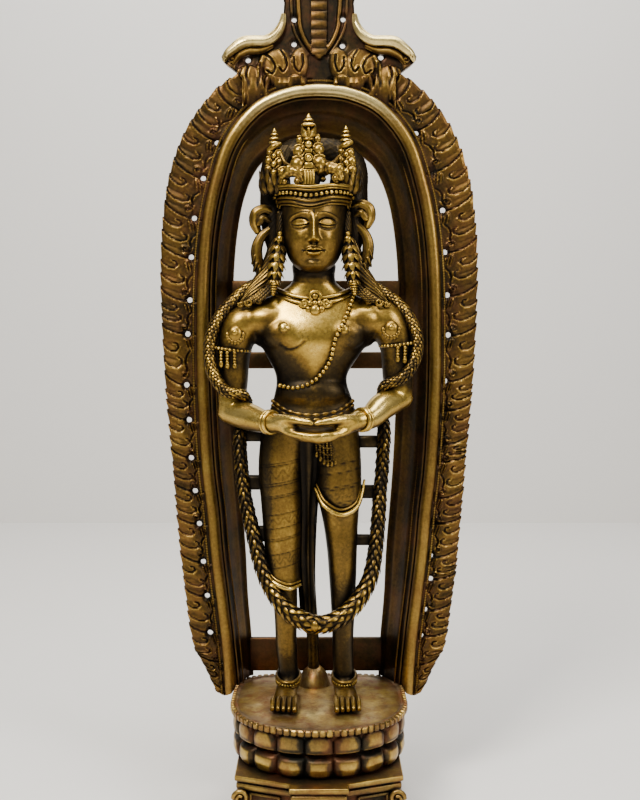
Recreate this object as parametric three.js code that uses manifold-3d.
// A standing brass deity in front of an openwork aureole, on a double lotus with a stepped plinth.
// Millimetres, +Z up, the figure faces -Y. The origin is on the ground below the figure's ankles.
import * as THREE from "three";
import { mergeVertices } from "three/addons/utils/BufferGeometryUtils.js";
import Module from "manifold-3d";

const wasm = await Module();
wasm.setup();

// Driving dimensions
const LOTUS_TOP = 95; // ground to the top of the lotus
const PLINTH_TOP = 56; // ground to the foot of the lotus
const GAP = 0.3; // between two castings
const LOTUS_HALF_WIDTH = 71;
const LOTUS_FRONT_Y = -79;
const LOTUS_BACK_Y = 56;
const PETALS = 19;
const SIDES_PER_PETAL = 3;
const MOUND_RADIUS = 13;
const MOUND_HEIGHT = 15;
const PLINTH_HALF_WIDTH = 64;
const BAND_FRONT_Y = 25; // front of the aureole's leaf band
const BAND_THICKNESS = 4;
const JAMB_BACK_Y = 54; // back of the aureole's deep jamb
const JAMB_SHIFT_X = -2.7; // the opening sits a little off the middle, as cast
const MOULDING_RADIUS = 5.2;
const PIERCING_RADIUS = 2.2;
const PIERCING_PLACE = 0.4; // across the band, from the moulding to the outer edge
const AUREOLE_RINGS = 60;
const LEAF_PERIOD = 2; // rings from one leaf of the band to the next
const BAR_FRONT_Y = 47;
const BAR_BACK_Y = 52;
const GARLAND_RINGS = 33;
const BODY_X = -4; // the figure stands a little left of the middle

const vec = (x, y, z) => new THREE.Vector3(x, y, z);
const curveThrough = (points) => new THREE.CatmullRomCurve3(points, false, "centripetal");
const count = (n) => [...Array(n).keys()];

// A closed geometry as a solid that can be joined and cut.
function solid(geometry) {
  const bare = geometry.clone();
  bare.deleteAttribute("normal");
  bare.deleteAttribute("uv");
  const merged = mergeVertices(bare, 1e-4);
  return new wasm.Manifold(
    new wasm.Mesh({
      numProp: 3,
      vertProperties: new Float32Array(merged.attributes.position.array),
      triVerts: new Uint32Array(merged.index.array),
    }),
  );
}

const join = (solids) => solids.reduce((a, b) => a.add(b));
const cut = (body, tools) => tools.reduce((a, b) => a.subtract(b), body);

function meshOf(name, shape, material) {
  const data = shape.getMesh();
  const geometry = new THREE.BufferGeometry();
  geometry.setAttribute("position", new THREE.BufferAttribute(data.vertProperties, 3));
  geometry.setIndex(new THREE.BufferAttribute(data.triVerts, 1));
  const flat = geometry.toNonIndexed();
  flat.computeVertexNormals();
  const mesh = new THREE.Mesh(flat, material);
  mesh.name = name;
  return mesh;
}

// A closed skin over rings of points. ringAt(t) gives the ring at t, from 0 to 1.
function skin(ringAt, sides, rings) {
  const geometry = new THREE.CylinderGeometry(1, 1, 1, sides, rings);
  const position = geometry.attributes.position;
  const loops = count(rings + 1).map((i) => ringAt(i / rings));
  for (const i of count(position.count)) {
    const x = position.getX(i);
    const z = position.getZ(i);
    const loop = loops[Math.round((position.getY(i) + 0.5) * rings)];
    const side = Math.round((Math.atan2(x, z) / (2 * Math.PI)) * sides + sides) % sides;
    const onAxis = Math.hypot(x, z) < 0.5;
    const middle = loop.reduce((sum, p) => sum.clone().add(p), vec(0, 0, 0)).divideScalar(sides);
    const point = onAxis ? middle : loop[side];
    position.setXYZ(i, point.x, point.y, point.z);
  }
  const made = solid(geometry);
  if (made.volume() > 0) return made;
  geometry.index.array.reverse();
  return solid(geometry);
}

// A part with level rings. A row is [height, middle x, middle y, half width, half depth].
function levels(rows, sides, rings) {
  const middleLine = curveThrough(rows.map((r) => vec(r[1], r[2], r[0])));
  const girthLine = curveThrough(rows.map((r) => vec(r[3], r[4], r[0])));
  const ringAt = (t) => {
    const middle = middleLine.getPoint(t);
    const girth = girthLine.getPoint(t);
    return count(sides).map((i) => {
      const a = (i / sides) * 2 * Math.PI;
      return vec(middle.x + Math.sin(a) * girth.x, middle.y - Math.cos(a) * girth.y, middle.z);
    });
  };
  return skin(ringAt, sides, rings);
}

// A round limb along rows of [x, y, z, radius]. swell(angle, ring) roughens it.
function limb(rows, sides, rings, swell = () => 1) {
  const middleLine = curveThrough(rows.map((r) => vec(r[0], r[1], r[2])));
  const radiusLine = curveThrough(rows.map((r, i) => vec(r[3], i, 0)));
  const frames = middleLine.computeFrenetFrames(rings, false);
  const ringAt = (t) => {
    const k = Math.round(t * rings);
    const middle = middleLine.getPoint(t);
    const ahead = middleLine.getTangent(t);
    const up = frames.normals[k].clone().projectOnPlane(ahead).normalize();
    const across = ahead.clone().cross(up);
    return count(sides).map((i) => {
      const a = (i / sides) * 2 * Math.PI;
      const r = radiusLine.getPoint(t).x * swell(a, k);
      const rim = up.clone().multiplyScalar(r * Math.cos(a)).addScaledVector(across, r * Math.sin(a));
      return middle.clone().add(rim);
    });
  };
  return skin(ringAt, sides, rings);
}

function ball(x, y, z, rx, ry, rz, across = 8, down = 6) {
  const geometry = new THREE.SphereGeometry(1, across, down);
  geometry.rotateX(Math.PI / 2);
  geometry.scale(rx, ry, rz);
  geometry.translate(x, y, z);
  return solid(geometry);
}

function block(x0, x1, y0, y1, z0, z1) {
  const geometry = new THREE.BoxGeometry(x1 - x0, y1 - y0, z1 - z0);
  geometry.translate((x0 + x1) / 2, (y0 + y1) / 2, (z0 + z1) / 2);
  return solid(geometry);
}

// A plate with the outline [x, z] and its faces at y0 and y1.
function plate(outline, y0, y1) {
  const shape = new THREE.Shape(outline.map(([x, z]) => new THREE.Vector2(x, z)));
  const geometry = new THREE.ExtrudeGeometry(shape, { depth: y1 - y0, bevelEnabled: false });
  geometry.rotateX(Math.PI / 2);
  geometry.translate(0, y1, 0);
  return solid(geometry);
}

// A slab with the plan [x, y] from z0 up to z1.
function slab(plan, z0, z1) {
  const shape = new THREE.Shape(plan.map(([x, y]) => new THREE.Vector2(x, y)));
  const geometry = new THREE.ExtrudeGeometry(shape, { depth: z1 - z0, bevelEnabled: false });
  geometry.translate(0, 0, z0);
  return solid(geometry);
}

const bothSides = (make) => [-1, 1].map((side) => make(side));

// Lotus pedestal

// A point of the lotus plan, drawn in by inset: round in front and square behind.
function lotusPoint(a, inset, z) {
  const middleY = (LOTUS_FRONT_Y + LOTUS_BACK_Y) / 2;
  const c = Math.cos(a);
  const s = Math.sin(a);
  const squareness = c < 0 ? 4.5 : 2.1;
  const reach = (Math.abs(s) ** squareness + Math.abs(c) ** squareness) ** (-1 / squareness);
  const halfDepth = (LOTUS_BACK_Y - LOTUS_FRONT_Y) / 2;
  return vec(s * reach * (LOTUS_HALF_WIDTH - inset), middleY - c * reach * (halfDepth - inset), z);
}

// The lotus from its foot to its top: [height, inset, how deep the petals part, how far their ends curl].
const LOTUS_PROFILE = [
  [PLINTH_TOP - 1, 9, 0, 0],
  [58.5, 4.5, 1.8, 2.6],
  [66, 2.4, 2.4, 0],
  [77.5, 8, 0.4, 0],
  [81, 3.4, 1.4, 0],
  [88, 3.6, 1.8, -1.4],
  [90, 6, 0, 0],
  [92, 0, 0, 0],
  [LOTUS_TOP, 3, 0, 0],
];

function lotus() {
  const sides = PETALS * SIDES_PER_PETAL;
  const rings = LOTUS_PROFILE.length - 1;
  return skin(
    (t) => {
      const [z, inset, parting, curl] = LOTUS_PROFILE[Math.round(t * rings)];
      return count(sides).map((i) => {
        const a = ((i + SIDES_PER_PETAL / 2) / sides) * 2 * Math.PI;
        const edge = (1 + Math.cos((i / SIDES_PER_PETAL) * 2 * Math.PI)) / 2;
        const pearl = z > 90 && i % 2 ? 1.4 : 0;
        return lotusPoint(a, inset + parting * edge + pearl, z + curl * edge);
      });
    },
    sides,
    rings,
  );
}

function plinthPlan(grow) {
  const w = PLINTH_HALF_WIDTH + grow;
  const right = [
    [w, 58 + grow],
    [w, -66 - grow * 0.7],
    [22 + grow, -81 - grow],
    [22 + grow, -90 - grow],
  ];
  return [...right, ...right.map(([x, y]) => [-x, y]).reverse()];
}

function lotusPedestal() {
  const mound = cut(ball(BODY_X, 28, LOTUS_TOP, MOUND_RADIUS, MOUND_RADIUS, MOUND_HEIGHT + 3, 8, 6), [
    block(-40, 40, -10, 60, LOTUS_TOP - 30, LOTUS_TOP - 5),
    block(-40, 40, -10, 60, LOTUS_TOP + MOUND_HEIGHT, LOTUS_TOP + 30),
  ]);
  const steps = [
    slab(plinthPlan(5), 0, 11),
    slab(plinthPlan(1), 10.9, 17),
    slab(plinthPlan(-5), 16.9, 45),
    slab(plinthPlan(-1), 45, 50.5),
    slab(plinthPlan(0), 50.4, PLINTH_TOP),
  ];
  const corners = bothSides((side) => ball(side * 58, -63, 31, 7, 7, 14, 6, 4));
  return join([lotus(), mound, ...steps, ...corners]);
}

// Aureole

// Right half of the aureole from foot to top: moulding, outer edge and opening, each [x, z].
const AUREOLE_HALF = [
  [[74, 78], [88, 78], [54, 78]],
  [[76.5, 124], [105.5, 124], [55.3, 124]],
  [[81, 165], [112.5, 168], [58.5, 165]],
  [[85.5, 205], [117, 208], [60.3, 205]],
  [[88.6, 243], [120, 245], [63.2, 243]],
  [[92.2, 275], [122.5, 278], [65.5, 275]],
  [[94.5, 312], [125.5, 315], [67.3, 312]],
  [[95.8, 350], [128.5, 353], [68.6, 350]],
  [[95.8, 395], [130.6, 398], [69.3, 392]],
  [[94.8, 438], [131.3, 445], [69.4, 434]],
  [[91, 478], [128.6, 488], [66.3, 472]],
  [[84, 512], [121.5, 526], [60, 504]],
  [[72, 546], [106, 562], [49, 528]],
  [[51, 571.5], [80, 592], [33, 541]],
  [[26, 583.5], [42, 612], [16, 547]],
];
const AUREOLE_CROWN = [[0, 586.5], [0, 618], [0, 549]];
const LEFT_PIERCINGS = [139, 199, 259, 318, 389, 452, 516];
const RIGHT_PIERCINGS = [137, 185, 254, 318, 388, 456, 522];
const CREST_PIERCINGS = [[20, 642.5], [19.6, 622.5], [54, 611.5], [8.5, 593], [38, 588], [59, 573.5]];

function aureoleLine(which) {
  const shift = which === 2 ? JAMB_SHIFT_X : 0;
  const half = AUREOLE_HALF.map((row) => row[which]);
  const right = half.map(([x, z]) => vec(x + shift, 0, z));
  const left = half.map(([x, z]) => vec(-x + shift, 0, z));
  const crown = vec(AUREOLE_CROWN[which][0] + shift, 0, AUREOLE_CROWN[which][1]);
  return curveThrough([...left, crown, ...right.reverse()]);
}

const mouldingLine = aureoleLine(0);
const edgeLine = aureoleLine(1);
const openingLine = aureoleLine(2);

// One ring of the aureole: leaf band, round moulding and slanting jamb.
function aureoleRing(t) {
  const k = Math.round(t * AUREOLE_RINGS);
  const fromTop = Math.abs(k - AUREOLE_RINGS / 2);
  const phase = (2 * Math.PI * fromTop) / LEAF_PERIOD;
  const moulding = mouldingLine.getPoint(t);
  const opening = openingLine.getPoint(t);
  const outward = edgeLine.getPoint(t).sub(moulding).normalize();
  const edge = edgeLine.getPoint(t).addScaledVector(outward, 1.3 * Math.sin(phase));
  const inward = opening.clone().sub(moulding).normalize();
  const at = (base, along, by, y) => base.clone().addScaledVector(along, by).setY(y);
  const bandMiddle = moulding.clone().lerp(edge, 0.62);
  return [
    at(edge, outward, 0, BAND_FRONT_Y + BAND_THICKNESS),
    at(edge, outward, 0, BAND_FRONT_Y + 0.6),
    at(bandMiddle, outward, 0, BAND_FRONT_Y - 0.8 - 1.5 * Math.sin(phase + 1.5)),
    at(moulding, outward, MOULDING_RADIUS, BAND_FRONT_Y + 0.4),
    at(moulding, outward, MOULDING_RADIUS * 0.6, BAND_FRONT_Y - 4),
    at(moulding, inward, MOULDING_RADIUS * 0.6, BAND_FRONT_Y - 4),
    at(moulding, inward, MOULDING_RADIUS, BAND_FRONT_Y + 1),
    at(opening, inward, 0, JAMB_BACK_Y - 5),
    at(opening, inward, 0, JAMB_BACK_Y),
    at(moulding, inward, 1, BAND_FRONT_Y + 8),
  ];
}

// Where the band's middle runs at a height, on the left or the right.
function bandPlace(side, z) {
  const ts = count(400).map((i) => (side < 0 ? i / 800 : 1 - i / 800));
  const gapAt = (t) => Math.abs(mouldingLine.getPoint(t).lerp(edgeLine.getPoint(t), PIERCING_PLACE).z - z);
  const best = ts.reduce((a, b) => (gapAt(b) < gapAt(a) ? b : a));
  return mouldingLine.getPoint(best).lerp(edgeLine.getPoint(best), PIERCING_PLACE).x;
}

function piercing(x, z) {
  const geometry = new THREE.CylinderGeometry(PIERCING_RADIUS, PIERCING_RADIUS, 30, 4);
  geometry.translate(x, BAND_FRONT_Y, z);
  return solid(geometry);
}

function crest() {
  const right = [
    [40, 596],
    [62, 600],
    [74, 606],
    [79, 613],
    [73, 618],
    [60, 625],
    [45, 628.5],
    [34, 630],
    [31, 638],
    [28.5, 648],
    [28, 656],
    [32, 666],
    [26, 678],
    [14, 688],
  ];
  const outline = [...right, [0, 699], ...right.map(([x, z]) => [-x, z]).reverse()];
  const board = plate(outline, BAND_FRONT_Y, BAND_FRONT_Y + BAND_THICKNESS);
  const arms = bothSides((side) =>
    limb(
      [
        [side * 31, 24, 633, 2.5],
        [side * 48, 22, 627, 4],
        [side * 66, 21, 619, 4],
        [side * 77, 22, 613, 1.6],
      ],
      4,
      4,
    ),
  );
  const leaves = bothSides((side) => ball(side * 42, 24, 611, 11, 4, 8, 6, 4));
  const collar = limb(
    [
      [-17, 24, 660, 2.4],
      [-15, 22.5, 635, 3],
      [-8, 21.5, 619, 3],
      [0, 21, 613, 3.2],
      [8, 21.5, 619, 3],
      [15, 22.5, 635, 3],
      [17, 24, 660, 2.4],
    ],
    4,
    6,
  );
  const strip = count(3).map((i) => ball(0, 24, 630 + i * 15, 6, 3.4, 7, 4, 4));
  return join([board, ...arms, ...leaves, collar, ...strip]);
}

function aureole() {
  const frame = skin(aureoleRing, aureoleRing(0).length, AUREOLE_RINGS);
  const bar = (half, z0, z1) =>
    block(JAMB_SHIFT_X - half, JAMB_SHIFT_X + half, BAR_FRONT_Y, BAR_BACK_Y, z0, z1);
  const bars = [bar(71, 420, 434), bar(70, 360, 374), bar(57, 99.6, 128.6)];
  const lug = block(-12, 6, BAR_FRONT_Y, BAR_BACK_Y, LOTUS_TOP + GAP, 101);
  const foot = [
    [104, 110],
    [99, 100],
    [91, 91.5],
    [80, 86],
    [73, 89],
    [70, LOTUS_TOP + GAP],
  ];
  const leftFoot = foot.map(([x, z]) => [-x, z]).reverse();
  const below = [[150, 110], ...foot, ...leftFoot, [-150, 110], [-150, 60], [150, 60]];
  const piercings = [
    ...LEFT_PIERCINGS.map((z) => piercing(bandPlace(-1, z), z)),
    ...RIGHT_PIERCINGS.map((z) => piercing(bandPlace(1, z), z)),
    ...CREST_PIERCINGS.flatMap(([x, z]) => [piercing(-x, z), piercing(x, z)]),
  ];
  const whole = join([frame, crest(), ...bars, lug]);
  return cut(whole, [plate(below, 0, 80), ...piercings]);
}

// Figure

const TORSO = [
  [292, -8, 1, 40, 18],
  [312, -7, 0, 38, 20],
  [334, -5, 0, 32.5, 19],
  [356, -6, 0, 28.5, 17.5],
  [372, -5, -1, 37, 20],
  [386, -4, -1, 46, 23],
  [399, -4, 0, 55, 21],
  [410, -4, 1, 53, 17],
  [419, -4, 1, 36, 14],
  [427, -4, 1, 21, 14],
  [445, -4, 0, 17.5, 15],
];

// How far forward the trunk reaches at x and z.
function trunkFront(x, z) {
  const i = Math.min(Math.max(TORSO.findIndex((r) => r[0] > z), 1), TORSO.length - 1);
  const [low, high] = [TORSO[i - 1], TORSO[i]];
  const k = (z - low[0]) / (high[0] - low[0]);
  const [, cx, cy, half, deep] = low.map((v, n) => v + (high[n] - v) * k);
  return cy - deep * Math.sqrt(Math.max(1 - ((x - cx) / half) ** 2, 0.05));
}

const onTrunk = (points, radius, proud) => points.map(([x, z]) => [x, trunkFront(x, z) - proud, z, radius]);

function trunk() {
  const body = levels(TORSO, 12, 9);
  const breasts = bothSides((side) => ball(BODY_X + side * 21, -12, 389, 20, 11, 14, 8, 5));
  const necklace = limb(onTrunk([[-33, 421], [-20, 416], [-4, 413], [12, 416], [25, 421]], 2.4, 0.8), 3, 4);
  const pendant = ball(-4, trunkFront(-4, 407) - 1, 407, 9, 3.5, 7, 6, 4);
  const thread = limb(
    onTrunk([[28, 421], [21, 403], [13, 386], [8, 367], [-5, 352], [-20, 347], [-32, 349]], 2, 0.6),
    3,
    7,
  );
  const belt = limb(onTrunk([[-37, 334], [-24, 328], [-6, 325], [14, 328], [27, 334]], 2.2, 0.8), 3, 4);
  return [body, ...breasts, necklace, pendant, thread, belt];
}

function arm(side) {
  const shoulder = side < 0 ? -62 : 53;
  const lift = side < 0 ? 0 : 4;
  const elbow = side < 0 ? -70 : 64;
  const wrist = side < 0 ? -35 : 31;
  const upper = limb(
    [
      [shoulder - side * 10, 0, 403 + lift, 12],
      [shoulder, 0, 397 + lift, 15.5],
      [elbow + side * -2, 1, 380 + lift, 14],
      [elbow + side * -2, 1, 375 + lift, 15.8],
      [elbow + side * -1, 1, 369 + lift, 12.4],
      [elbow, 0, 329 + lift * 2.6, 10.5],
    ],
    8,
    5,
  );
  const forearm = limb(
    [
      [elbow + side * 3, 2, 327 + lift * 3, 9.5],
      [elbow - side * 14, -12, 324 + lift * 2, 11],
      [wrist + side * 7, -25, 321 + lift * 0.6, 8.8],
      [wrist + side * 3, -28, 321 + lift * 0.6, 10.6],
      [wrist - side * 2, -31, 320 + lift * 0.4, 8.2],
      [wrist - side * 22, -42, 320, 8],
      [wrist - side * 44, -47, 318, 5],
    ],
    7,
    6,
  );
  const rosette = ball(shoulder + side * 4, -14, 388 + lift, 6.5, 5, 6.5, 6, 4);
  const tassels = bothSides((place) =>
    ball(shoulder + side * 9 + place * 4, -12, 367 + lift, 2.4, 4.5, 7, 4, 4),
  );
  return [upper, forearm, rosette, ...tassels];
}

function hands() {
  const palms = ball(-1, -41, 322, 26, 9, 9, 8, 5);
  const fingers = limb([[-27, -43, 313, 3.4], [0, -49, 310.5, 3.2], [25, -43, 313, 3.4]], 4, 4);
  return [palms, fingers];
}

// Leg rows are [height, middle x, middle y, half width, half depth].
const LEFT_LEG = [
  [98, -25, 3, 8, 8],
  [107, -25, 3, 9.8, 10],
  [114, -25, 3, 8.3, 8.5],
  [132, -26.5, 3, 8.6, 9.5],
  [171, -27.5, 2, 10, 12],
  [186, -29, 1, 11.5, 13],
  [190, -29, 1, 13.5, 15],
  [222, -29.5, 0, 14.5, 16],
  [250, -30, 0, 16, 17],
  [281, -31, 0, 17.3, 19],
  [318, -25, 0, 20, 20],
];
const RIGHT_LEG = [
  [98, 20.5, 3, 8, 8],
  [107, 20.5, 3, 9.8, 10],
  [114, 20, 3, 8, 8.5],
  [132, 19.5, 3, 8, 9.5],
  [171, 19.5, 2, 9.5, 12],
  [218, 18.4, 1, 12, 14.5],
  [243, 17, 1, 14.5, 15.5],
  [249, 16.5, 0, 18, 18.5],
  [281, 15.3, 0, 18.6, 19.5],
  [318, 12, 0, 19, 20],
];

// A foot as rings from heel to toes, [y, half width, height], over a scalloped row of toes.
function foot(x) {
  const lean = x < 0 ? -2 : 2;
  const sole = LOTUS_TOP + GAP;
  const rows = [
    [13, 6, 8],
    [4, 9, 13],
    [-10, 9.5, 13],
    [-26, 11, 8.5],
    [-40, 11.5, 6],
  ];
  const rings = rows.length - 1;
  const instep = skin(
    (t) => {
      const [y, w, h] = rows[Math.round(t * rings)];
      const middle = x + lean * t;
      const ring = [[-w, 0], [-w, h * 0.55], [-w * 0.5, h], [w * 0.5, h], [w, h * 0.55], [w, 0]];
      return ring.map(([dx, dz]) => vec(middle + dx, y, sole + dz));
    },
    6,
    rings,
  );
  const toes = count(5).flatMap((i) => {
    const inner = x < 0 ? i : 4 - i;
    const tip = -47 - inner;
    const middle = x + lean + (i - 2) * 4.7;
    return [[middle - 2, tip + 1.5], [middle, tip], [middle + 2, tip + 1.5], [middle + 2.35, tip + 4.5]];
  });
  const row = slab([[x + lean - 11.6, -36], ...toes.slice(0, -1), [x + lean + 11.6, -36]], sole, sole + 5);
  return [instep, row];
}

function dress() {
  const fall = levels(
    [
      [160, -9, 10, 6, 5],
      [200, -10.5, 8, 7, 7],
      [250, -9.5, 6, 8, 9],
      [306, -8, 4, 15, 13],
    ],
    8,
    5,
  );
  const hem = limb(
    [
      [-2, -8, 262, 2],
      [6, -17, 252, 2.2],
      [20, -19, 246, 2.2],
      [32, -11, 253, 2.2],
      [36, -2, 262, 2],
    ],
    4,
    5,
  );
  const tassel = bothSides((place) => ball(10 + place * 6, -19, 299, 5, 3.6, 9, 5, 4));
  const post = levels(
    [
      [LOTUS_TOP + MOUND_HEIGHT + GAP, -4.5, 27, 5, 5],
      [130, -5, 25, 5, 5],
      [185, -9, 10, 6, 6],
    ],
    6,
    3,
  );
  return [fall, hem, ...tassel, post];
}

// The garland runs over both shoulders, round the arms and down across the shins.
const GARLAND = [
  [-38, 9, 434, 3.5],
  [-52, 6, 428, 5],
  [-70, 2, 413, 5.5],
  [-82, 0, 396, 5.5],
  [-87, -2, 376, 5.5],
  [-83, -6, 355, 5.5],
  [-73, -11, 344, 5],
  [-60, -10, 341, 4.6],
  [-58, 0, 328, 4.5],
  [-63, -3, 310, 5.3],
  [-62.5, -3, 288, 5.5],
  [-60, -3, 262, 5.6],
  [-55, -4, 238, 6],
  [-50, -6, 218, 6.4],
  [-44, -9, 198, 6.8],
  [-34, -14, 180, 7.3],
  [-21, -18, 167, 7.8],
  [-4, -19, 159, 8],
  [8, -19, 160, 8],
  [22, -17, 168, 7.6],
  [34, -13, 181, 7.2],
  [41, -9, 194, 6.8],
  [45, -6, 213, 6.3],
  [47.5, -4, 238, 6],
  [49, -3, 262, 5.6],
  [51, -3, 288, 5.4],
  [52, -3, 312, 5.2],
  [50, 0, 332, 4.5],
  [52, -9, 348, 4.6],
  [66, -10, 355, 5],
  [76, -5, 369, 5.5],
  [78, -2, 385, 5.5],
  [70, 0, 404, 5.5],
  [53, 4, 421, 5.2],
  [40, 7, 429, 5],
  [30, 9, 436, 3.5],
];

function garland() {
  const braid = (a, k) => 1 + (k % 2 ? 0.16 : -0.1) * Math.cos(2 * a);
  const rope = limb(GARLAND, 4, GARLAND_RINGS, braid);
  const webs = [
    block(-60, -44, -3, 3, 264, 276),
    block(-52, -40, -4, 2, 222, 235),
    block(-62, -42, -3, 3, 303, 314),
    block(30, 52, -3, 3, 298, 308),
    block(30, 50, -3, 3, 257, 268),
    block(28, 46, -4, 2, 219, 228),
  ];
  return [rope, ...webs];
}

function headAndHair() {
  const skull = levels(
    [
      [438, BODY_X, -10, 8, 8],
      [444, BODY_X, -9, 16, 16],
      [456, BODY_X, -5, 23, 22],
      [472, BODY_X, -3, 25.5, 25],
      [490, BODY_X, -2, 26.5, 26],
      [502, BODY_X, 0, 22, 22],
    ],
    10,
    6,
  );
  const nose = limb([[BODY_X, -25, 476, 2], [BODY_X, -30, 464, 3.2], [BODY_X, -25, 459, 3.6]], 4, 2);
  const lips = ball(BODY_X, -25, 452.5, 6.5, 3.6, 2.4, 5, 4);
  const lids = bothSides((side) => ball(BODY_X + side * 11, -22, 470, 6.5, 3.6, 3, 5, 4));
  const hair = levels(
    [
      [470, -4, 8, 32, 15],
      [486, -4, 11, 39, 14],
      [515, -4, 13, 45, 12],
      [536, -4, 14, 36, 10],
      [546, -4, 14, 24, 7],
    ],
    10,
    5,
  );
  const locks = bothSides((side) =>
    limb(
      [
        [BODY_X + side * 28, 6, 476, 9],
        [BODY_X + side * 34, 7, 452, 9],
        [BODY_X + side * 40, 4, 432, 10],
        [BODY_X + side * 48, -3, 419, 10],
        [BODY_X + side * 56, -12, 410, 6],
      ],
      5,
      4,
    ),
  );
  const ribbons = bothSides((side) => {
    const x = side < 0 ? -47 : 36.5;
    return limb(
      [
        [x - side * 10, 2, 484, 3.6],
        [x + side * 3, 0, 488, 4.4],
        [x + side * 2, 0, 472, 4],
        [x + side * 2, 0, 454, 3.6],
        [x - side * 2, 2, 440, 3.6],
        [x - side * 10, 3, 431, 3.6],
      ],
      4,
      7,
    );
  });
  const earrings = bothSides((side) =>
    limb(
      [
        [BODY_X + side * 27, -4, 461, 3],
        [BODY_X + side * 29, -5, 452, 6],
        [BODY_X + side * 30, -6, 440, 7.6],
        [BODY_X + side * 32, -9, 428, 6],
        [BODY_X + side * 32, -12, 418, 3],
      ],
      6,
      5,
    ),
  );
  return [skull, nose, lips, ...lids, hair, ...locks, ...ribbons, ...earrings];
}

// A crown leaf: a jewelled body with a spire of shrinking discs on it.
function crownLeaf(x, y, z, halfWidth, height) {
  const rows = [
    [0, 0.7],
    [0.14, 1],
    [0.34, 0.95],
    [0.56, 0.62],
    [0.64, 0.34],
    [0.74, 0.5],
    [0.84, 0.24],
    [1, 0.06],
  ];
  return skin(
    (t) => {
      const [rise, width] = rows[Math.round(t * (rows.length - 1))];
      return count(6).map((i) => {
        const a = (i / 6) * 2 * Math.PI;
        const w = halfWidth * width;
        return vec(x + Math.sin(a) * w, y - Math.cos(a) * w * 0.62, z + rise * height);
      });
    },
    6,
    rows.length - 1,
  );
}

function crown() {
  const band = levels(
    [
      [486, BODY_X, -2, 29, 28.5],
      [490, BODY_X, -2, 32, 31],
      [500, BODY_X, -1, 33.5, 32],
      [504, BODY_X, -1, 31, 30],
    ],
    12,
    3,
  );
  const leaves = [
    crownLeaf(-8, -28, 503, 11.5, 53),
    crownLeaf(-35, -10, 502, 8.5, 47),
    crownLeaf(20.9, -10, 502, 8.5, 49),
  ];
  const links = bothSides((side) => ball(-7 + side * 17, -23, 508, 8, 5, 5, 5, 4));
  return [band, ...leaves, ...links];
}

function deityFigure() {
  const legs = [levels(LEFT_LEG, 8, 10), levels(RIGHT_LEG, 8, 9)];
  const feet = [...foot(-25.5), ...foot(20.5)];
  const parts = [
    ...trunk(),
    ...arm(-1),
    ...arm(1),
    ...hands(),
    ...legs,
    ...feet,
    ...dress(),
    ...garland(),
    ...headAndHair(),
    ...crown(),
  ];
  return join(parts);
}

const brass = new THREE.MeshStandardMaterial({ color: 0x9a7430, roughness: 0.34, metalness: 1 });
const dullBrass = new THREE.MeshStandardMaterial({ color: 0x6e5528, roughness: 0.5, metalness: 1 });
const darkBrass = new THREE.MeshStandardMaterial({ color: 0x54401f, roughness: 0.48, metalness: 1 });

const idol = new THREE.Group();
idol.add(meshOf("deity_figure", deityFigure(), brass));
idol.add(meshOf("lotus_pedestal", lotusPedestal(), dullBrass));
idol.add(meshOf("aureole", aureole(), darkBrass));

export default idol;
